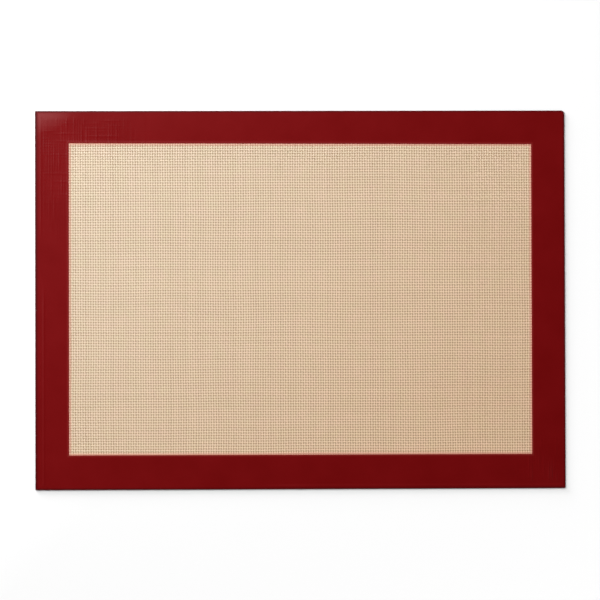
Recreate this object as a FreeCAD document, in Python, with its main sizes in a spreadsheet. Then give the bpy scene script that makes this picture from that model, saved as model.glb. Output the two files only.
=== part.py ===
import FreeCAD, Part
import math
import os
import Sketcher

# A silicone baking mat for a half-sheet tray, lying flat.
# Woven glass cloth is the core. A clear silicone coat covers it on both faces, a red silicone
# border is printed round a window on both faces, and a red silicone seal closes the cut edge.
# Frame: millimetres, +X along the long side, +Y along the short side, +Z from the tray up to the food.
# The origin is the middle of the outline, on the face that lies on the tray.

doc = FreeCAD.newDocument("baking_mat")

# Driving dimensions
sizes = doc.addObject("Spreadsheet::Sheet", "sizes")
driving_dimensions = [
    ("mat_length", "420", "outline along X"),
    ("mat_width", "300", "outline along Y"),
    ("corner_radius_back_left", "0.7", "outline corner at -X +Y"),
    ("corner_radius_back_right", "2.5", "outline corner at +X +Y"),
    ("corner_radius_front_right", "1.2", "outline corner at +X -Y"),
    ("corner_radius_front_left", "0.8", "outline corner at -X -Y"),
    ("seal_width", "4.0", "edge seal, from the outline in to the cut edge of the cloth"),
    ("seal_edge_radius", "0.35", "rounding of the seal's upper and lower rim"),
    ("border_left", "26.7", "red border, from the outline to the window at -X"),
    ("border_right", "26.6", "red border, from the outline to the window at +X"),
    ("border_back", "26.2", "red border, from the outline to the window at +Y"),
    ("border_front", "27.4", "red border, from the outline to the window at -Y"),
    ("window_corner_radius", "0.8", "corners of the window in the red border"),
    ("tray_print_thickness", "0.10", "red border on the tray side"),
    ("tray_coat_thickness", "0.10", "clear coat on the tray side"),
    ("cloth_thickness", "0.55", "woven glass cloth"),
    ("food_coat_thickness", "0.10", "clear coat on the food side"),
    ("food_print_thickness", "0.10", "red border on the food side"),
]
for row, (alias, value, meaning) in enumerate(driving_dimensions, start=1):
    sizes.set(f"A{row}", alias)
    sizes.set(f"B{row}", value)
    sizes.set(f"C{row}", meaning)
    sizes.setAlias(f"B{row}", alias)
doc.recompute()

# Distances from the origin to the four sides of each outline: left, right, back, front
half_length = "sizes.mat_length / 2"
half_width = "sizes.mat_width / 2"
MAT_SIDES = (half_length, half_length, half_width, half_width)
CLOTH_SIDES = tuple(f"{side} - sizes.seal_width" for side in MAT_SIDES)
WINDOW_SIDES = (
    f"{half_length} - sizes.border_left",
    f"{half_length} - sizes.border_right",
    f"{half_width} - sizes.border_back",
    f"{half_width} - sizes.border_front",
)

# Corner radii in the order in which an outline is drawn: back left, back right, front right, front left
MAT_CORNERS = (
    "sizes.corner_radius_back_left",
    "sizes.corner_radius_back_right",
    "sizes.corner_radius_front_right",
    "sizes.corner_radius_front_left",
)
WINDOW_CORNERS = ("sizes.window_corner_radius",) * 4

# Heights of the layers' lower faces, counted up from the tray
TRAY_COAT_BASE = "sizes.tray_print_thickness"
CLOTH_BASE = f"{TRAY_COAT_BASE} + sizes.tray_coat_thickness"
FOOD_COAT_BASE = f"{CLOTH_BASE} + sizes.cloth_thickness"
FOOD_PRINT_BASE = f"{FOOD_COAT_BASE} + sizes.food_coat_thickness"
MAT_THICKNESS = f"{FOOD_PRINT_BASE} + sizes.food_print_thickness"

# The most that a rounded rim may take of the mat's thickness, so that a flat stays between the two rims
RIM_LIMIT = 0.45
# Lengths below this count as nothing
TOLERANCE = 0.001


def new_layer(name, base=None):
    """A body for one piece, lifted so that its lower face lies at the height base."""
    body = doc.addObject("PartDesign::Body", name)
    body.Label = name
    if base:
        body.setExpression("Placement.Base.z", base)
    return body


def new_sketch(body):
    """A sketch on the body's own horizontal plane."""
    ground = next(plane for plane in body.Origin.OriginFeatures if plane.Role == "XY_Plane")
    sketch = body.newObject("Sketcher::SketchObject", f"{body.Name}_outline")
    sketch.AttachmentSupport = (ground, "")
    sketch.MapMode = "FlatFace"
    return sketch


def bind(sketch, constraint, expression):
    """Add a dimension to the sketch and tie it to the sheet."""
    index = sketch.addConstraint(constraint)
    sketch.setExpression(f"Constraints[{index}]", expression)


def draw_outline(sketch, sides, corners=None):
    """Draw a rectangle round the origin, clockwise from its back side, with rounded corners if given."""
    start = 10.0
    rounding = 1.0 if corners else 0.0
    reach = start - rounding
    point = FreeCAD.Vector
    lines = sketch.addGeometry([
        Part.LineSegment(point(-reach, start), point(reach, start)),
        Part.LineSegment(point(start, reach), point(start, -reach)),
        Part.LineSegment(point(reach, -start), point(-reach, -start)),
        Part.LineSegment(point(-start, -reach), point(-start, reach)),
    ], False)
    back, right, front, left = lines
    sketch.addConstraint([
        Sketcher.Constraint("Horizontal", back),
        Sketcher.Constraint("Vertical", right),
        Sketcher.Constraint("Horizontal", front),
        Sketcher.Constraint("Vertical", left),
    ])
    joins = [(left, back), (back, right), (right, front), (front, left)]
    if corners:
        quarter_circles = [(-reach, reach, 90), (reach, reach, 0), (reach, -reach, 270), (-reach, -reach, 180)]
        for (before, after), radius, (x, y, turn) in zip(joins, corners, quarter_circles):
            circle = Part.Circle(point(x, y), point(0, 0, 1), rounding)
            quarter = Part.ArcOfCircle(circle, math.radians(turn), math.radians(turn + 90))
            arc = sketch.addGeometry(quarter, False)
            sketch.addConstraint(Sketcher.Constraint("Tangent", arc, 2, before, 2))
            sketch.addConstraint(Sketcher.Constraint("Tangent", arc, 1, after, 1))
            bind(sketch, Sketcher.Constraint("Radius", arc, rounding), radius)
    else:
        for before, after in joins:
            sketch.addConstraint(Sketcher.Constraint("Coincident", before, 2, after, 1))
    left_side, right_side, back_side, front_side = sides
    origin = (-1, 1)
    bind(sketch, Sketcher.Constraint("DistanceX", left, 1, *origin, start), left_side)
    bind(sketch, Sketcher.Constraint("DistanceX", *origin, right, 1, start), right_side)
    bind(sketch, Sketcher.Constraint("DistanceY", *origin, back, 1, start), back_side)
    bind(sketch, Sketcher.Constraint("DistanceY", front, 1, *origin, start), front_side)


def raise_layer(body, sketch, thickness):
    """Pad the sketch up into a layer of the given thickness."""
    pad = body.newObject("PartDesign::Pad", f"{body.Name}_layer")
    pad.Profile = sketch
    pad.setExpression("Length", thickness)
    doc.recompute()
    return pad


def full_sheet(name, base, thickness):
    """A layer that covers the whole cloth."""
    body = new_layer(name, base)
    sketch = new_sketch(body)
    draw_outline(sketch, CLOTH_SIDES)
    raise_layer(body, sketch, thickness)
    return body


def printed_border(name, base, thickness):
    """A red frame from the cut edge of the cloth in to the window."""
    body = new_layer(name, base)
    sketch = new_sketch(body)
    draw_outline(sketch, CLOTH_SIDES)
    draw_outline(sketch, WINDOW_SIDES, WINDOW_CORNERS)
    raise_layer(body, sketch, thickness)
    return body


def moulded_seal(name):
    """The red ring round the cut edge, as thick as all the layers together, with rounded rims."""
    body = new_layer(name)
    sketch = new_sketch(body)
    draw_outline(sketch, MAT_SIDES, MAT_CORNERS)
    draw_outline(sketch, CLOTH_SIDES)
    pad = raise_layer(body, sketch, MAT_THICKNESS)
    level_faces = [face for face in pad.Shape.Faces if face.BoundBox.ZLength < TOLERANCE]
    outer_edges = [edge for face in level_faces for edge in face.OuterWire.Edges]
    rims = [
        f"Edge{number}"
        for number, edge in enumerate(pad.Shape.Edges, start=1)
        if any(edge.isSame(outer) for outer in outer_edges)
    ]
    rounding = body.newObject("PartDesign::Fillet", f"{name}_rims")
    rounding.Base = (pad, rims)
    rounding.setExpression("Radius", f"min(sizes.seal_edge_radius; {RIM_LIMIT} * ({MAT_THICKNESS}))")
    doc.recompute()
    return body


pieces = [
    printed_border("tray_side_border", None, "sizes.tray_print_thickness"),
    full_sheet("tray_side_coat", TRAY_COAT_BASE, "sizes.tray_coat_thickness"),
    full_sheet("glass_cloth", CLOTH_BASE, "sizes.cloth_thickness"),
    full_sheet("food_side_coat", FOOD_COAT_BASE, "sizes.food_coat_thickness"),
    printed_border("food_side_border", FOOD_PRINT_BASE, "sizes.food_print_thickness"),
    moulded_seal("edge_seal"),
]
doc.recompute()

# Nothing is written unless every object and every piece is sound
for item in doc.Objects:
    if "Invalid" in item.State or "Error" in item.State:
        raise RuntimeError(f"{item.Label} failed: {item.State}")
for piece in pieces:
    if piece.Shape.isNull() or not piece.Shape.isValid() or len(piece.Shape.Solids) != 1:
        raise RuntimeError(f"{piece.Label} is not one sound solid")

os.makedirs("parts", exist_ok=True)
for piece in pieces:
    piece.Shape.exportStep(f"parts/{piece.Label}.step")
    box = piece.Shape.optimalBoundingBox()
    print(
        f"{piece.Label}: {box.XLength:.2f} x {box.YLength:.2f} x {box.ZLength:.2f} mm,"
        f" z {box.ZMin:.2f} to {box.ZMax:.2f}, volume {piece.Shape.Volume / 1000:.3f} cm3"
    )
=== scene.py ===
import bmesh
import bpy
import math
import random
from mathutils import Matrix, Vector, noise


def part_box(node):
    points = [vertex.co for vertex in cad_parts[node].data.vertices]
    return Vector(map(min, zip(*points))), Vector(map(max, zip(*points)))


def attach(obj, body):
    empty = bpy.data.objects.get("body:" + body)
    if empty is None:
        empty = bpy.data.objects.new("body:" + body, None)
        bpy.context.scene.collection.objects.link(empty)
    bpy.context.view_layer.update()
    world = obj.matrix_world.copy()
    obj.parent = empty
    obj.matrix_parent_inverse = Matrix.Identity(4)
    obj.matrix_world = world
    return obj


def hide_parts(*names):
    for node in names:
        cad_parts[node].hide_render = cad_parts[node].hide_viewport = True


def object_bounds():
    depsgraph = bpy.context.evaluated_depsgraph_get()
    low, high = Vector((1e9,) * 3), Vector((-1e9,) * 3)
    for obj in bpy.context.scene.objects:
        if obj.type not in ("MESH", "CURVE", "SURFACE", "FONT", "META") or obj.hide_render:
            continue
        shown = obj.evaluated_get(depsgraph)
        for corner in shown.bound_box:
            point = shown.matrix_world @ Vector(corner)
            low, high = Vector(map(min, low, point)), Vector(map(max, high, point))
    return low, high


# A silicone baking mat that lies flat, in metres and in the frame of its solids:
# +X along the long side, +Y along the short side, +Z up from the tray to the food.
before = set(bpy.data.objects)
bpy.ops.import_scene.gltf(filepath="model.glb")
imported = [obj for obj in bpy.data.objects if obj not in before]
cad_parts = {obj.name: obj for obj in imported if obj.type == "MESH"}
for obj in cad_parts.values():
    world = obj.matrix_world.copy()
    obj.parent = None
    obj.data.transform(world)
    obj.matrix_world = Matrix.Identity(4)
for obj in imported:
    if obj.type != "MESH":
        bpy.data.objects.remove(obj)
cad_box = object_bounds()

# Glass cloth
# The core of the mat: one plain-woven sheet of glass-fibre yarns, cream from the silicone in them.
# Warp yarns run along Y and weft yarns along X, each over one crossing yarn and under the next.
# Below the red border they only run straight on to the cut edge.
cloth_low, cloth_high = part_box("glass_cloth")
coat_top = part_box("food_side_coat")[1].z
cloth_middle = (cloth_low.z + cloth_high.z) / 2
X, Y = 0, 1
# Distance between yarns along X, which spaces the warp, and along Y, which spaces the weft
PITCH = (0.001977, 0.002088)
YARN_WIDTH = (0.00143, 0.00150)
YARN_SIDES = 6
# A yarn with its skin of silicone is half as thick as the cloth with both coats, less a little room
YARN_ROOM = 0.00001
YARN_THICKNESS = coat_top - cloth_middle - YARN_ROOM
# How far a yarn swings up and down, and how far its twist leans each crown sideways
CRIMP = YARN_THICKNESS / 2
LEAN = 0.00008
# The red border, from the outline in to the window
BORDER_LEFT = 0.0267
BORDER_RIGHT = 0.0266
BORDER_BACK = 0.0262
BORDER_FRONT = 0.0274
window_low = Vector((cad_box[0][X] + BORDER_LEFT, cad_box[0][Y] + BORDER_FRONT))
window_high = Vector((cad_box[1][X] - BORDER_RIGHT, cad_box[1][Y] - BORDER_BACK))
# The window's back edge was printed a little askew, by this much for each metre along X
SKEW = 0.0037
# The woven part reaches this far under the border
TUCK = 0.003
# Loose hand of the weave: how far a yarn may sit off its place, and how much it may vary in width
YARN_SHIFT = 0.00005
YARN_SPREAD = 0.07
# How far the weave wanders over the mat, the length of one swing, and where it fades to the cut edge
WANDER = 0.0005
WANDER_WAVE = 0.055
WANDER_FADE = 0.020

yarn_count = [int((cloth_high[axis] - cloth_low[axis]) / PITCH[axis]) for axis in (X, Y)]
first_yarn = [-(yarn_count[axis] - 1) / 2 * PITCH[axis] for axis in (X, Y)]
woven_from = [math.ceil((window_low[axis] - TUCK - first_yarn[axis]) / PITCH[axis]) for axis in (X, Y)]
woven_to = [math.floor((window_high[axis] + TUCK - first_yarn[axis]) / PITCH[axis]) for axis in (X, Y)]
# Both kinds of chance start from this seed, so that every run makes the same weave
SEED = 21
chance = random.Random(SEED)
noise.seed_set(SEED)
yarn_shift = [[chance.uniform(-1, 1) * YARN_SHIFT for _ in range(count)] for count in yarn_count]
yarn_spread = [[1 + chance.uniform(-1, 1) * YARN_SPREAD for _ in range(count)] for count in yarn_count]


class Value:
    """An output of a finish's nodes that can be used in arithmetic."""

    def __init__(self, finish, socket):
        self.finish = finish
        self.socket = socket

    def combine(self, operation, first, second):
        return self.finish.node("ShaderNodeMath", {"operation": operation}, {0: first, 1: second})

    def __add__(self, other):
        return self.combine("ADD", self, other)

    def __radd__(self, other):
        return self.combine("ADD", other, self)

    def __sub__(self, other):
        return self.combine("SUBTRACT", self, other)

    def __rsub__(self, other):
        return self.combine("SUBTRACT", other, self)

    def __mul__(self, other):
        return self.combine("MULTIPLY", self, other)

    def __rmul__(self, other):
        return self.combine("MULTIPLY", other, self)

    def least(self, other):
        return self.combine("MINIMUM", self, other)


class Finish:
    """A material made of nodes, or the world's own nodes."""

    def __init__(self, owner):
        owner.use_nodes = True
        self.owner = owner
        self.nodes = owner.node_tree.nodes
        self.links = owner.node_tree.links

    def feed(self, socket, value):
        """Link a value to a socket, or set the socket to a number, colour or vector."""
        if isinstance(value, Value):
            self.links.new(value.socket, socket)
        elif isinstance(value, tuple) and len(value) == 3 and socket.type == "RGBA":
            socket.default_value = (*value, 1)
        else:
            socket.default_value = value

    def node(self, kind, settings=None, inputs=None, output=0):
        """Add a node, set it up, fill its sockets and give back one of its outputs."""
        made = self.nodes.new(kind)
        for name, setting in (settings or {}).items():
            if name == "stops":
                first, *middle, last = setting
                ramp = made.color_ramp.elements
                for stop, (place, level) in zip(ramp, (first, last)):
                    stop.position = place
                    stop.color = (level, level, level, 1)
                for place, level in middle:
                    ramp.new(place).color = (level, level, level, 1)
            else:
                setattr(made, name, setting)
        for name, value in (inputs or {}).items():
            self.feed(made.inputs[name], value)
        return Value(self, made.outputs[output])

    def here(self):
        """The place on the mat."""
        return self.node("ShaderNodeTexCoord", output="Object")

    def along(self, axis):
        """How far a place lies from the origin along the axis X, Y or Z."""
        return self.node("ShaderNodeSeparateXYZ", inputs={"Vector": self.here()}, output=axis)

    def to_front_right(self):
        """How far a place lies from the origin to the right and to the front, added up."""
        inputs = {0: self.here(), 1: (1, -1, 0)}
        return self.node("ShaderNodeVectorMath", {"operation": "DOT_PRODUCT"}, inputs, "Value")

    def depth(self, low, high, skew=0.0):
        """How far a place on the mat is inside a rectangle, whose back side may lie askew."""
        along_x = self.along("X")
        along_y = self.along("Y")
        from_sides = (along_x - low[X]).least(high[X] - along_x)
        return from_sides.least(along_y - low[Y]).least(high[Y] - along_y - along_x * skew)

    def stretched(self, scale):
        """The place on the mat, stretched by a scale along X, Y and Z."""
        return self.node("ShaderNodeMapping", inputs={"Vector": self.here(), "Scale": scale})

    def clouds(self, scale):
        """Soft random clouds from 0 to 1, with a scale in clouds for each metre along X, Y and Z."""
        inputs = {"Vector": self.stretched(scale), "Scale": 1.0, "Detail": 2.0, "Roughness": 0.55}
        return self.node("ShaderNodeTexNoise", inputs=inputs)

    def blend(self, share, first, second):
        """A colour between two, by a share from 0 to 1."""
        return self.node("ShaderNodeMix", {"data_type": "RGBA"}, {0: share, 6: first, 7: second}, 2)

    def fade(self, value, start, end):
        """A share that grows from 0 to 1 while a value goes from start to end."""
        return self.node("ShaderNodeMapRange", inputs={"Value": value, 1: start, 2: end})

    def bump(self, height, distance, strength):
        """A surface direction that is roughened by a height."""
        inputs = {"Strength": strength, "Distance": distance, "Height": height}
        return self.node("ShaderNodeBump", inputs=inputs)

    def surface(self, **inputs):
        """Set the shader's sockets, with spaces in their names written as underscores."""
        shader = self.nodes["Principled BSDF"]
        for name, value in inputs.items():
            self.feed(shader.inputs[name.replace("_", " ")], value)


# Edges at which a surface turns by more than this stay sharp
SHARP_TURN = math.radians(50)


def keep_piece(name, shape, finish, node):
    """Make a finished bmesh into a piece of the mat that stands for one of its solids."""
    mesh = bpy.data.meshes.new(name)
    shape.to_mesh(mesh)
    shape.free()
    mesh.shade_smooth()
    mesh.set_sharp_from_angle(angle=SHARP_TURN)
    mesh.materials.append(finish.owner)
    piece = bpy.data.objects.new(name, mesh)
    bpy.context.scene.collection.objects.link(piece)
    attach(piece, "root")
    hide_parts(node)
    return piece


def wander(point):
    """How far the loose weave has slipped at a place on the mat. It fades out towards the cut edge."""
    edge = min(min(point[axis] - cloth_low[axis], cloth_high[axis] - point[axis]) for axis in (X, Y))
    slip = noise.noise_vector(Vector((point.x, point.y, 0)) / WANDER_WAVE)
    slip.z = 0
    return slip * WANDER * min(1, max(0, edge / WANDER_FADE))


def straight_yarn(run, woven):
    """A mesh of one straight six-sided yarn along the axis run, cut off at the cloth's edges.

    A yarn that will be woven is divided twice for each yarn that crosses it."""
    side = 1 - run
    crossings = woven_to[run] - woven_from[run] + 1
    length = crossings * PITCH[run]
    middle = first_yarn[run] + (woven_from[run] + woven_to[run]) / 2 * PITCH[run]
    # Across its flats a six-sided rod measures this many times its radius
    across_flats = 2 * math.cos(math.pi / YARN_SIDES)
    flatten = Matrix((
        (0, 0, 1, middle),
        (0, -YARN_WIDTH[side] / 2, 0, 0),
        (YARN_THICKNESS / across_flats, 0, 0, cloth_middle),
        (0, 0, 0, 1),
    ))
    turn = Matrix.Rotation(math.pi / 2 * run, 4, "Z")
    rod = bmesh.new()
    bmesh.ops.create_cone(
        rod, cap_ends=True, segments=YARN_SIDES, radius1=1, radius2=1, depth=length, matrix=turn @ flatten)
    caps = [face for face in rod.faces if len(face.verts) == YARN_SIDES]
    if woven:
        long_edges = [edge for edge in rod.edges if edge.calc_length() > length / 2]
        bmesh.ops.subdivide_edges(rod, edges=long_edges, cuts=2 * crossings - 1)
    grown = bmesh.ops.extrude_discrete_faces(rod, faces=caps)["faces"]
    for cap in grown:
        for vert in cap.verts:
            vert.co[run] = cloth_high[run] if vert.co[run] > middle else cloth_low[run]
    yarn = bpy.data.meshes.new("straight_yarn")
    rod.to_mesh(yarn)
    rod.free()
    return yarn


def strip_of_yarns(run, numbers):
    """Lay the yarns with these numbers side by side along the axis run, not yet woven."""
    side = 1 - run
    shown = straight_yarn(run, True)
    hidden = straight_yarn(run, False)
    strip = bmesh.new()
    for number in numbers:
        yarn = shown if woven_from[side] <= number <= woven_to[side] else hidden
        place = Vector((0, 0, 0))
        place[side] = first_yarn[side] + number * PITCH[side]
        yarn.transform(Matrix.Translation(place))
        strip.from_mesh(yarn)
        yarn.transform(Matrix.Translation(-place))
    bpy.data.meshes.remove(shown)
    bpy.data.meshes.remove(hidden)
    return strip


def weave(yarns, run):
    """Bend straight yarns over and under the ones that cross them, and give them their loose hand."""
    side = 1 - run
    upwards = 1 if run == X else -1
    for vert in yarns.verts:
        crossing = (vert.co[run] - first_yarn[run]) / PITCH[run]
        number = round((vert.co[side] - first_yarn[side]) / PITCH[side])
        woven = woven_from[run] - 1 < crossing < woven_to[run] + 1
        centre = first_yarn[side] + number * PITCH[side]
        off_centre = (vert.co[side] - centre) * yarn_spread[side][number]
        vert.co[side] = centre + off_centre + yarn_shift[side][number]
        if woven and woven_from[side] <= number <= woven_to[side]:
            swing = math.cos(math.pi * crossing) * (-1) ** number
            vert.co.z += upwards * CRIMP * swing
            vert.co[side] += LEAN * swing
        else:
            vert.co.z -= upwards * CRIMP
    for vert in yarns.verts:
        vert.co += wander(vert.co)


# A yarn's colour lies between a dark cream and a light one, which is pink or yellow in patches
CREAM_DARK = (0.735, 0.534, 0.358)
CREAM_PINK = (0.912, 0.677, 0.505)
CREAM_YELLOW = (0.853, 0.692, 0.464)
# Clouds for each metre: fibres across and along a yarn, tints along a yarn, and the patches
FIBRES_ACROSS = 9000.0
FIBRES_ALONG = 400.0
TINTS_ALONG = 12.0
PATCHES = 80.0
PATCH_FROM = 0.35
PATCH_TO = 0.65
# The tint moves on by this much of a cloud from one yarn to the next
TINT_STEP = 0.6
# How much of the colour follows the fibres, where the rest follows the tint
FIBRE_SHARE = 0.4
# Painted highlight: the crowns of the yarns are painted paler, from this far below their tops
CROWN_HIGHLIGHT = (0.98, 0.81, 0.68)
HIGHLIGHT_DEPTH = 0.00012
HIGHLIGHT_SHARE = 0.42
YARN_ROUGHNESS = 0.42
FIBRE_ROUGHNESS = 0.2
# Painted sheen: the cloth is painted paler at the back left, under the lamp, and browner to the front right
SHEEN_SIDE_TINT = (0.938, 1.0, 1.025)
AWAY_SIDE_TINT = (0.988, 0.937, 0.870)
SHEEN_TINT_REACH = 0.25
# Red pigment tinges the cloth this far in from the border
TINGE = (0.86, 0.37, 0.28)
TINGE_REACH = 0.0022
TINGE_SHARE = 0.75


def painted_sheen_and_tinge(finish, colour):
    """Cloth or coat colour with painted sheen, paler at the back left, and reddened next to the border."""
    # Painted sheen, fading from the back left to the front right
    away_from_sheen = finish.fade(finish.to_front_right(), -SHEEN_TINT_REACH, SHEEN_TINT_REACH)
    inputs = {0: colour, 1: finish.blend(away_from_sheen, SHEEN_SIDE_TINT, AWAY_SIDE_TINT)}
    browned = finish.node("ShaderNodeVectorMath", {"operation": "MULTIPLY"}, inputs)
    near = 1 - finish.fade(finish.depth(window_low, window_high, SKEW), 0.0, TINGE_REACH)
    return finish.blend(near * TINGE_SHARE, browned, TINGE)


def yarn_finish(name, run):
    """Glass fibres soaked with silicone: cream, with streaks along the yarn and a satin skin."""
    finish = Finish(bpy.data.materials.new(name))
    fibre_scale = [FIBRES_ACROSS] * 3
    fibre_scale[run] = FIBRES_ALONG
    tint_scale = [TINTS_ALONG, TINTS_ALONG, 0.0]
    tint_scale[1 - run] = TINT_STEP / PITCH[1 - run]
    fibres = finish.clouds(fibre_scale)
    tint = finish.clouds(tint_scale)
    patches = finish.fade(finish.clouds((PATCHES, PATCHES, 0.0)), PATCH_FROM, PATCH_TO)
    light = finish.blend(patches, CREAM_PINK, CREAM_YELLOW)
    body = finish.blend(fibres * FIBRE_SHARE + tint * (1 - FIBRE_SHARE), CREAM_DARK, light)
    height = finish.along("Z") - cloth_middle
    from_middle = finish.node("ShaderNodeMath", {"operation": "ABSOLUTE"}, {0: height})
    # Painted highlight: paler towards the top of each crown
    crown_highlight = finish.fade(from_middle, YARN_THICKNESS - HIGHLIGHT_DEPTH, YARN_THICKNESS)
    finish.surface(
        Base_Color=painted_sheen_and_tinge(finish, finish.blend(crown_highlight * HIGHLIGHT_SHARE, body, CROWN_HIGHLIGHT)),
        Roughness=YARN_ROUGHNESS + fibres * FIBRE_ROUGHNESS,
        Specular_IOR_Level=0.6,
        Coat_Weight=0.2,
        Coat_Roughness=0.28,
        Normal=finish.bump(fibres, distance=0.00003, strength=0.3),
    )
    return finish


warp_finish = yarn_finish("warp_glass_yarn", Y)
weft_finish = yarn_finish("weft_glass_yarn", X)
# Each set of yarns is made in three strips, so that no piece has too many faces
STRIPS = {X: ("front", "middle", "back"), Y: ("left", "middle", "right")}
for run, kind, finish in ((Y, "warp", warp_finish), (X, "weft", weft_finish)):
    side = 1 - run
    woven = woven_to[side] - woven_from[side] + 1
    cuts = [0, woven_from[side] + woven // 3, woven_from[side] + 2 * woven // 3, yarn_count[side]]
    for place, start, end in zip(STRIPS[run], cuts, cuts[1:]):
        yarns = strip_of_yarns(run, range(start, end))
        weave(yarns, run)
        strip = keep_piece(f"{kind}_yarns_{place}", yarns, finish, "glass_cloth")

# Clear coats
# Silicone spread over both faces of the cloth and cured. It fills the cloth and leaves a dimple in
# every gap between the yarns, where its tan body shows darker than their crowns, partly as painted shade.
# Beside the red border it stands higher and leaves no dimples.
DIMPLE_DEPTH = 0.00007
# The film's level between the yarns, counted from the tray and then from the middle of the cloth
COAT_HEIGHT = 0.00064
COAT_LEVEL = COAT_HEIGHT - cloth_middle
# How much higher the film stands at the border, and how far into the window that reaches
EDGE_FILL = 0.00012
FILL_REACH = 0.0020
# The lower face of the film lies this far from the middle of the cloth
FILM_START = 0.00001
# The silicone's tan, painted darker to stand for the shade in the gaps between the yarns
TAN_AND_SHADE_LIGHT = (0.53, 0.347, 0.216)
TAN_AND_SHADE_DARK = (0.366, 0.214, 0.124)
# Clouds for each metre
COAT_CLOUDS = 220.0
COAT_ROUGHNESS = 0.3
COAT_CLOUD_ROUGHNESS = 0.2


def lay_on_cloth(shape, up):
    """Lift a shape made on the middle of the cloth to its place, turned over for the lower face."""
    if up < 0:
        bmesh.ops.scale(shape, vec=(1, 1, -1), verts=shape.verts[:])
        bmesh.ops.reverse_faces(shape, faces=shape.faces[:])
    bmesh.ops.translate(shape, verts=shape.verts[:], vec=(0, 0, cloth_middle))


def coat_film(up):
    """A film over the upper face of the cloth (up 1) or the lower one (-1), with a dimple in every gap."""
    steps = [2 * (woven_to[axis] - woven_from[axis]) for axis in (X, Y)]
    size = [steps[axis] * PITCH[axis] / 2 for axis in (X, Y)]
    middle = [
        first_yarn[axis] + (woven_from[axis] + woven_to[axis]) / 2 * PITCH[axis] for axis in (X, Y)]
    move = Matrix.Translation((middle[X], middle[Y], COAT_LEVEL))
    stretch = Matrix.Diagonal((size[X], size[Y], 1, 1))
    film = bmesh.new()
    bmesh.ops.create_grid(
        film, x_segments=steps[X], y_segments=steps[Y], size=0.5, matrix=move @ stretch)
    for vert in film.verts:
        between = [round(2 * (vert.co[axis] - first_yarn[axis]) / PITCH[axis]) % 2 for axis in (X, Y)]
        inside = min(
            min(vert.co[axis] - window_low[axis], window_high[axis] - vert.co[axis]) for axis in (X, Y))
        filled = max(0, min(1, 1 - inside / FILL_REACH))
        vert.co.z += EDGE_FILL * filled - DIMPLE_DEPTH * all(between) * (1 - filled)
    rim = [edge for edge in film.edges if edge.is_boundary]
    margin = bmesh.ops.extrude_edge_only(film, edges=rim)["geom"]
    for vert in margin:
        if isinstance(vert, bmesh.types.BMVert):
            for axis in (X, Y):
                if abs(vert.co[axis] - middle[axis]) > size[axis] / 2 - PITCH[axis] / 4:
                    vert.co[axis] = cloth_high[axis] if vert.co[axis] > middle[axis] else cloth_low[axis]
    for vert in film.verts:
        vert.co += wander(vert.co)
    rim = [edge for edge in film.edges if edge.is_boundary]
    wall = bmesh.ops.extrude_edge_only(film, edges=rim)["geom"]
    for vert in wall:
        if isinstance(vert, bmesh.types.BMVert):
            vert.co.z = FILM_START
    bmesh.ops.contextual_create(film, geom=[edge for edge in film.edges if edge.is_boundary])
    bmesh.ops.recalc_face_normals(film, faces=film.faces[:])
    lay_on_cloth(film, up)
    return film


coat_finish = Finish(bpy.data.materials.new("cured_clear_silicone"))
coat_clouds = coat_finish.clouds((COAT_CLOUDS, COAT_CLOUDS, COAT_CLOUDS))
coat_finish.surface(
    Base_Color=painted_sheen_and_tinge(coat_finish, coat_finish.blend(coat_clouds, TAN_AND_SHADE_DARK, TAN_AND_SHADE_LIGHT)),
    Roughness=COAT_ROUGHNESS + coat_clouds * COAT_CLOUD_ROUGHNESS,
    Coat_Weight=0.2,
)
tray_coat = keep_piece("tray_coat_film", coat_film(-1), coat_finish, "tray_side_coat")
food_coat = keep_piece("food_coat_film", coat_film(1), coat_finish, "food_side_coat")

# Red borders
# Pigmented silicone, screen-printed round the window on both faces and cured onto the clear coat.
# It is thick and dull at its back left corner and thin at the window, where it has a bead. Near two of
# its corners single yarns show as ribs, and on some stretches a low ridge follows the cut edge.
border_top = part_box("food_side_border")[1].z - cloth_middle
# Corners with ribs: their sides along X and Y, how much the ribs over the warp and over the weft stand
# out there, and how far they spread
RIBBED_CORNERS = (
    (-1, 1, (1.0, 1.0), 0.075),
    (1, -1, (2.6, 0.3), 0.027),
)
# Ribs over the warp and over the weft: their height and the length of one
RIB_HEIGHT = (0.00019, 0.00012)
RIB_LENGTH = 0.020
# Noise decides where ribs show: its steps from yarn to yarn and from warp to weft, and what is added
RIB_YARN_STEP = 5.13
RIB_RUN_STEP = 7.7
RIB_BIAS = 0.2
# Ribs fade out at this many spreads from the corner, and start this far in from the cut edge
RIB_FULL = 1.6
RIB_START = 0.0038
# Within this distance of the cut edge the mesh is fine enough for ribs
RIB_ZONE = 0.070
# The thick corner reaches this far along the back and the left. It rises between two distances from the
# cut edge, and its rim sinks by a share of its height.
CORNER_POOL = 0.00040
POOL_REACH = (0.042, 0.022)
POOL_FROM = -0.0035
POOL_TO = 0.0035
POOL_SINK = 0.3
WINDOW_BEAD = 0.00010
BEAD_PLACE = 0.0009
BEAD_WIDTH = 0.0005
# The edge at the window lies this much further out over a yarn and further in over a gap
EDGE_RIPPLE = 0.00010
# The skew of the window's back edge fades out over this distance to the front
SKEW_FADE = 0.030
# Stretches with a ridge: the axis and the sign of their side, from where to where along it, how far in
# from the cut edge, and how high
RIDGES = (
    (X, -1, 0.045, 0.170, 0.0006, 0.00011),
    (X, -1, -0.170, 0.015, 0.0028, 0.00018),
    (Y, -1, -0.035, 0.230, -0.0014, 0.00022),
)
RIDGE_WIDTH = 0.0007
RIDGE_FADE = 0.020
# Extra lines of the mesh at the print's two edges
EDGE_LINES = (0.0, 0.0003, 0.0006, 0.0009, 0.0013, 0.0018)
# Places nearer to each other than this are the same
SAME_PLACE = 1e-6
RED_LIGHT = (0.199, 0.0028, 0.0040)
RED_DARK = (0.150, 0.0016, 0.0021)
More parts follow.
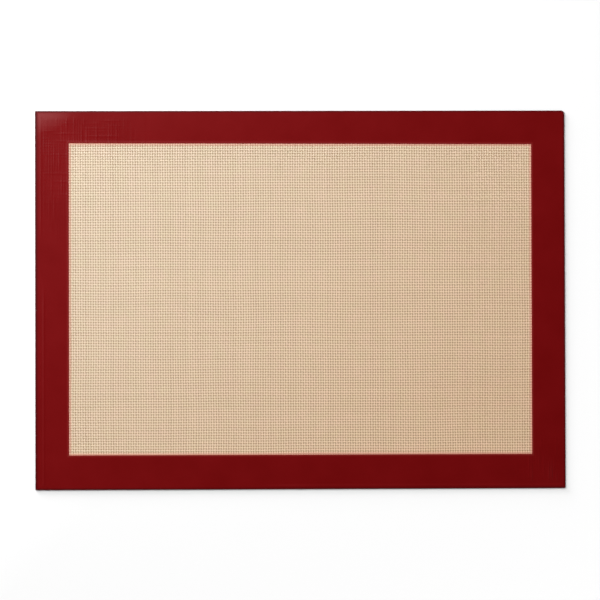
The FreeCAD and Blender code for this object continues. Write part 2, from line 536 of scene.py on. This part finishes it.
# Clouds for each metre: pigment and the grain of the skin
PIGMENT_CLOUDS = 45.0
GRAIN_CLOUDS = 1500.0
GRAIN_SHARE = 0.3
RED_ROUGHNESS = 0.28
PIGMENT_ROUGHNESS = 0.06
GRAIN_ROUGHNESS = 0.04
# The thin edge at the window lets a little of the cloth through
RED_THIN = (0.230, 0.0180, 0.0160)
THIN_REACH = 0.0018
# Painted shade: the red is painted darker along the rim of the mat, a little further in on the left
RIM_SHADE = (0.085, 0.0010, 0.0020)
RIM_SHADE_FROM = 0.0003
RIM_SHADE_TO = 0.0020
RIM_SHADE_LEFT = 0.0007
# The thick corner cured dull, and is painted paler there as a painted sheen
CORNER_SHEEN = (0.262, 0.038, 0.039)
CORNER_SHEEN_SHARE = 0.56
DULL_ROUGHNESS = 0.2
DULL_AND_SHEEN_REACH = (0.030, 0.018)
DULL_AND_SHEEN_FULL = 0.15
# Painted light: the red is painted brighter towards that corner, on the lamp's side
LIT_SIDE_FROM = 0.02
LIT_SIDE_TO = -0.30
LIT_SIDE_SHARE = 0.5


def hump(distance, place, width):
    """A smooth hump of height 1 at a distance from an edge."""
    return math.exp(-((distance - place) / width) ** 2)


def print_lines(axis):
    """Where the print's mesh has lines across an axis.

    There are two lines for each yarn, four where ribs may show, and more at the print's two edges."""
    edges = []
    for distance in EDGE_LINES:
        edges += [cloth_low[axis] + distance, cloth_high[axis] - distance]
        edges += [window_low[axis] - distance, window_high[axis] + distance]
    closest = PITCH[axis] / 10
    clear = []
    for step in range(4 * yarn_count[axis] - 3):
        line = first_yarn[axis] + step / 4 * PITCH[axis]
        ribbed = cloth_high[axis] - abs(line) < RIB_ZONE
        if (ribbed or step % 2 == 0) and min(abs(line - edge) for edge in edges) > closest:
            clear.append(line)
    return sorted(edges + clear)


def press_flat(shape):
    """Press what would stick out below the mat flat against the tray."""
    for vert in shape.verts:
        vert.co.z = max(vert.co.z, cad_box[0].z)


def over_yarn(point, axis):
    """1 over the middle of a yarn, counting yarns along an axis, and -1 in the middle of a gap."""
    return math.cos(2 * math.pi * (point[axis] - first_yarn[axis]) / PITCH[axis])


def share(value, start, end):
    """A share that grows smoothly from 0 to 1 while a value goes from start to end."""
    part = max(0, min(1, (value - start) / (end - start)))
    return part * part * (3 - 2 * part)


def ridge_height(point, to_cut):
    """How high the ridges along the cut edge stand at a place on the print or the seal."""
    height = 0
    for side, sign, start, end, place, top in RIDGES:
        along = point[1 - side]
        if point[side] * sign > 0:
            shown = share(along, start, start + RIDGE_FADE) * share(along, end, end - RIDGE_FADE)
            height += top * shown * hump(to_cut[side], place, RIDGE_WIDTH)
    return height


def rib_height(point, to_cut):
    """How high single yarns lift the print above them."""
    height = 0
    for side_x, side_y, strength, reach in RIBBED_CORNERS:
        distance = math.hypot(point.x - side_x * cloth_high.x, point.y - side_y * cloth_high.y)
        near_corner = max(0, min(1, RIB_FULL - distance / reach))
        for axis in (X, Y):
            number = round((point[axis] - first_yarn[axis]) / PITCH[axis])
            along = point[1 - axis] / RIB_LENGTH
            patch = noise.noise(Vector((number * RIB_YARN_STEP, along, axis * RIB_RUN_STEP)))
            rib = RIB_HEIGHT[axis] * max(0, patch + RIB_BIAS) * (1 + over_yarn(point, axis)) / 2
            height += rib * strength[axis] * near_corner
    return height * share(min(to_cut), 0, RIB_START)


def relief(point):
    """How far the skin of the print or the seal stands above its plain level at a place on it."""
    to_cut = [cloth_high[axis] - abs(point[axis]) for axis in (X, Y)]
    to_window = math.hypot(*(
        max(window_low[axis] - point[axis], point[axis] - window_high[axis], 0) for axis in (X, Y)))
    from_corner = math.hypot(
        (point.x - cloth_low.x) / POOL_REACH[X], (cloth_high.y - point.y) / POOL_REACH[Y])
    rise = share(min(to_cut), POOL_FROM, POOL_TO) - POOL_SINK
    height = CORNER_POOL * rise * share(from_corner, 1, 0)
    height += WINDOW_BEAD * hump(to_window, BEAD_PLACE, BEAD_WIDTH)
    return height + ridge_height(point, to_cut) + rib_height(point, to_cut)


def border_print(up):
    """A printed ring from the cut edge in to the window, on the upper face (up 1) or the lower one (-1)."""
    lines = [print_lines(axis) for axis in (X, Y)]
    steps = [len(lines[axis]) - 1 for axis in (X, Y)]
    ring = bmesh.new()
    bmesh.ops.create_grid(ring, x_segments=steps[X], y_segments=steps[Y], size=0.5)
    for vert in ring.verts:
        for axis in (X, Y):
            vert.co[axis] = lines[axis][round((vert.co[axis] + 0.5) * steps[axis])]
        vert.co.z = border_top
    inside = [
        face for face in ring.faces
        if all(window_low[axis] < face.calc_center_median()[axis] < window_high[axis] for axis in (X, Y))
    ]
    bmesh.ops.delete(ring, geom=inside, context="FACES")
    for vert in ring.verts:
        vert.co.z += relief(vert.co)
        on_edges = [
            abs(vert.co[axis] - edge[axis]) < SAME_PLACE
            for axis in (X, Y)
            for edge in (window_low, window_high)
        ]
        if vert.is_boundary and sum(on_edges) == 1:
            axis = on_edges.index(True) // 2
            vert.co[axis] += math.copysign(EDGE_RIPPLE, vert.co[axis]) * over_yarn(vert.co, 1 - axis)
    for vert in ring.verts:
        behind = (cloth_high.y - vert.co.y) / (cloth_high.y - window_high.y)
        before = 1 - (window_high.y - vert.co.y) / SKEW_FADE
        vert.co.y -= SKEW * vert.co.x * max(0, min(behind, before))
    rim = [edge for edge in ring.edges if edge.is_boundary]
    wall = bmesh.ops.extrude_edge_only(ring, edges=rim)["geom"]
    for vert in wall:
        if isinstance(vert, bmesh.types.BMVert):
            vert.co.z = COAT_LEVEL - DIMPLE_DEPTH
    bmesh.ops.bridge_loops(ring, edges=[edge for edge in ring.edges if edge.is_boundary])
    bmesh.ops.recalc_face_normals(ring, faces=ring.faces[:])
    lay_on_cloth(ring, up)
    press_flat(ring)
    return ring


red_finish = Finish(bpy.data.materials.new("red_silicone"))
pigment = red_finish.clouds((PIGMENT_CLOUDS, PIGMENT_CLOUDS, PIGMENT_CLOUDS))
grain = red_finish.clouds((GRAIN_CLOUDS, GRAIN_CLOUDS, GRAIN_CLOUDS))
# Painted shade darkens the red along the rim of the mat
rim_shade_low = cad_box[0] + Vector((RIM_SHADE_LEFT, 0, 0))
past_rim_shade = red_finish.fade(red_finish.depth(rim_shade_low, cad_box[1]), RIM_SHADE_FROM, RIM_SHADE_TO)
thin = red_finish.fade(red_finish.depth(window_low, window_high, SKEW), -THIN_REACH, 0.0)
# Painted light: the red grows brighter towards the back left, where the lamp is
lit_side = (red_finish.fade(red_finish.to_front_right(), LIT_SIDE_FROM, LIT_SIDE_TO) - 0.5) * LIT_SIDE_SHARE
red = red_finish.blend(pigment * (1 - GRAIN_SHARE) + grain * GRAIN_SHARE + lit_side, RED_DARK, RED_LIGHT)
# Distance from the thick corner, counted in reaches of its dull patch and painted sheen
dull_and_sheen_place = red_finish.stretched((1 / DULL_AND_SHEEN_REACH[X], 1 / DULL_AND_SHEEN_REACH[Y], 0))
dull_and_sheen_corner = (cad_box[0].x / DULL_AND_SHEEN_REACH[X], cad_box[1].y / DULL_AND_SHEEN_REACH[Y], 0)
from_dull_and_sheen = red_finish.node(
    "ShaderNodeVectorMath", {"operation": "DISTANCE"}, {0: dull_and_sheen_place, 1: dull_and_sheen_corner}, "Value")
dull_and_sheen = red_finish.fade(from_dull_and_sheen, 1.0, DULL_AND_SHEEN_FULL) * past_rim_shade * past_rim_shade
# Painted sheen: the red turns paler towards the thick corner
sheened = red_finish.blend(dull_and_sheen * CORNER_SHEEN_SHARE, red, CORNER_SHEEN)
uneven = pigment * PIGMENT_ROUGHNESS + grain * GRAIN_ROUGHNESS + dull_and_sheen * DULL_ROUGHNESS
red_finish.surface(
    Base_Color=red_finish.blend(past_rim_shade, RIM_SHADE, red_finish.blend(thin, sheened, RED_THIN)),
    Roughness=RED_ROUGHNESS + uneven,
    IOR=1.41,
    Specular_IOR_Level=0.25,
    Normal=red_finish.bump(grain, distance=0.00005, strength=0.25),
)
tray_border = keep_piece(
    "tray_border_print", border_print(-1), red_finish, "tray_side_border")
food_border = keep_piece(
    "food_border_print", border_print(1), red_finish, "food_side_border")

# Edge seal
# A ring of the same red silicone, moulded round the cut edge of the cloth so that no glass fibre shows.
# It runs level into the print, shares its ridges and its thick corner, and has a rounded rim.
seal_low, seal_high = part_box("edge_seal")
seal_half = (seal_high.z - seal_low.z) / 2
# Corner radii of the outline: front left, front right, back right, back left
SEAL_CORNERS = (0.0008, 0.0012, 0.0025, 0.0007)
SMALLEST_CORNER = 0.0001
CORNER_STEPS = 5
# The section of the upper half, as distances in from the outline and shares of half the thickness
SEAL_SECTION = (
    (0.00000, 0.10),
    (0.00008, 0.45),
    (0.00025, 0.70),
    (0.00055, 0.85),
    (0.00110, 0.93),
    (0.00160, 0.96),
    (0.00210, 0.98),
    (0.00270, 0.99),
    (0.00330, 1.00),
    (0.00400, 1.00),
)
# Open edges nearer to the outline than this belong to the outer side of the ring
OUTER_ZONE = 0.001
# The ring's sides are divided into this many steps, so that it can follow the ridges
SEAL_STEPS = 120


def outline_loop(seal, inset, height):
    """A rounded rectangle at a distance in from the outline and at a height. It gives back its edges."""
    sides = [(seal_high[axis] - seal_low[axis]) / 2 - inset for axis in (X, Y)]
    move = Matrix.Translation((0, 0, height))
    stretch = Matrix.Diagonal((sides[X], sides[Y], 1, 1))
    corners = bmesh.ops.create_grid(
        seal, x_segments=1, y_segments=1, size=1, matrix=move @ stretch)["verts"]
    order = sorted(corners, key=lambda corner: math.atan2(corner.co.y, corner.co.x))
    for corner, radius in zip(order, SEAL_CORNERS):
        rounded = max(radius - inset, SMALLEST_CORNER)
        bmesh.ops.bevel(
            seal, geom=[corner], offset=rounded, offset_type="OFFSET", segments=CORNER_STEPS,
            profile=0.5, affect="VERTICES", material=-1)
    level = [face for face in seal.faces if face.is_valid]
    edges = [edge for face in level for edge in face.edges]
    bmesh.ops.delete(seal, geom=level, context="FACES_ONLY")
    return edges


def is_outer(edge):
    """Whether an open edge of the ring lies on its outer side."""
    place = edge.verts[0].co
    return max(abs(place.x) - seal_high.x, abs(place.y) - seal_high.y) > -OUTER_ZONE


seal = bmesh.new()
loops = [outline_loop(seal, inset, level * seal_half) for inset, level in SEAL_SECTION]
for outer, inner in zip(loops, loops[1:]):
    bmesh.ops.bridge_loops(seal, edges=outer + inner)
bmesh.ops.mirror(seal, geom=seal.verts[:] + seal.edges[:] + seal.faces[:], axis="Z", merge_dist=0)
rims = [edge for edge in seal.edges if edge.is_boundary]
outer_rims = [edge for edge in rims if is_outer(edge)]
inner_rims = [edge for edge in rims if not is_outer(edge)]
bmesh.ops.bridge_loops(seal, edges=outer_rims)
bmesh.ops.bridge_loops(seal, edges=inner_rims)
side_edges = [edge for edge in seal.edges if edge.calc_length() > seal_high.y]
bmesh.ops.subdivide_edges(seal, edges=side_edges, cuts=SEAL_STEPS - 1)
for vert in seal.verts:
    vert.co.z += relief(vert.co) * vert.co.z / seal_half
bmesh.ops.recalc_face_normals(seal, faces=seal.faces[:])
bmesh.ops.translate(seal, verts=seal.verts[:], vec=(0, 0, seal_low.z + seal_half))
press_flat(seal)
edge_ring = keep_piece("edge_ring", seal, red_finish, "edge_seal")

# Floor and studio
# A plain white floor, pale walls and a dark ceiling. A soft lamp at the back left lights the mat.
# Two low lamps behind it light the floor alone, where the mat throws a short soft shadow.
FLOOR_SIZE = 12
FLOOR_WHITE = 0.663
# The floor glows a little, more so away from the lamps, so that it looks evenly white
GLOW_SLOPE = 0.5
NEAR_GLOW = 0.25
FAR_GLOW = 0.56
FAR_FROM = 0.5
FAR_TO = 3.0
floor_shape = bmesh.new()
bmesh.ops.create_grid(floor_shape, x_segments=1, y_segments=1, size=FLOOR_SIZE)
floor_mesh = bpy.data.meshes.new("floor")
floor_shape.to_mesh(floor_mesh)
floor_shape.free()
floor = bpy.data.objects.new("floor", floor_mesh)
bpy.context.scene.collection.objects.link(floor)
floor_finish = Finish(bpy.data.materials.new("white_floor"))
away = floor_finish.to_front_right() * GLOW_SLOPE
near_glow = floor_finish.node("ShaderNodeClamp", inputs={"Value": away, "Max": NEAR_GLOW})
distance = floor_finish.node(
    "ShaderNodeVectorMath", {"operation": "LENGTH"}, {0: floor_finish.here()}, "Value")
far_glow = floor_finish.fade(distance, FAR_FROM, FAR_TO) * FAR_GLOW
seen = floor_finish.node("ShaderNodeLightPath", output="Is Camera Ray")
mirrored = floor_finish.node("ShaderNodeLightPath", output="Is Glossy Ray")
through = floor_finish.node("ShaderNodeLightPath", output="Is Transmission Ray")
glow = (seen + mirrored + through) * (near_glow + far_glow)
floor_finish.surface(
    Base_Color=(FLOOR_WHITE, FLOOR_WHITE, FLOOR_WHITE),
    Roughness=1.0,
    Specular_IOR_Level=0.0,
    Emission_Color=floor_finish.blend(glow, (0.0, 0.0, 0.0), (1.0, 1.0, 1.0)),
    Emission_Strength=1.0,
)
floor_mesh.materials.append(floor_finish.owner)

world = bpy.data.worlds.new("studio")
bpy.context.scene.world = world
studio = Finish(world)
# Light from the walls by height: dimmer low down, and dark overhead
WALL_LIGHT = ((0.25, 0.28), (0.42, 0.80), (0.60, 0.80), (0.80, 0.03))
toward = studio.node("ShaderNodeTexCoord", output="Generated")
height = studio.node("ShaderNodeSeparateXYZ", inputs={"Vector": toward}, output="Z")
wall = studio.node("ShaderNodeValToRGB", {"stops": WALL_LIGHT}, {"Fac": height})
studio.feed(studio.nodes["Background"].inputs["Color"], wall)


def area_lamp(name, place, aim, width, height, power):
    """A rectangular lamp at a place, turned to face a point."""
    light = bpy.data.lights.new(name, "AREA")
    light.shape = "RECTANGLE"
    light.size = width
    light.size_y = height
    light.energy = power
    lamp = bpy.data.objects.new(name, light)
    lamp.location = place
    lamp.rotation_euler = (Vector(aim) - Vector(place)).to_track_quat("-Z", "Y").to_euler()
    lamp.visible_camera = False
    bpy.context.scene.collection.objects.link(lamp)
    return lamp


area_lamp(
    "key_lamp", place=(-0.78, 0.84, 1.07), aim=(-0.1, 0.05, 0), width=1.8, height=0.8, power=29.4)
side_panel = area_lamp(
    "side_panel", place=(-1.31, 1.31, 0.77), aim=(0, 0, 0), width=1.2, height=0.5, power=28.0)
low_strip = area_lamp(
    "low_strip", place=(-1.40, 1.70, 0.27), aim=(0, 0, 0), width=1.6, height=0.36, power=120.0)
# The two low lamps are flagged off the mat and light the floor alone
floor_alone = bpy.data.collections.new("floor_alone")
floor_alone.objects.link(floor)
for lamp in (side_panel, low_strip):
    lamp.light_linking.receiver_collection = floor_alone

# The camera looks down from above the middle of the mat, a little off square
camera_data = bpy.data.cameras.new("camera")
camera_data.lens = 100
camera_data.sensor_width = 36
camera = bpy.data.objects.new("camera", camera_data)
camera.location = (-0.01801, -0.01151, 1.32154)
camera.rotation_euler = [math.radians(turn) for turn in (0.4941, -0.7590, -0.1511)]
bpy.context.scene.collection.objects.link(camera)
bpy.context.scene.camera = camera
bpy.context.scene.view_settings.view_transform = "Standard"
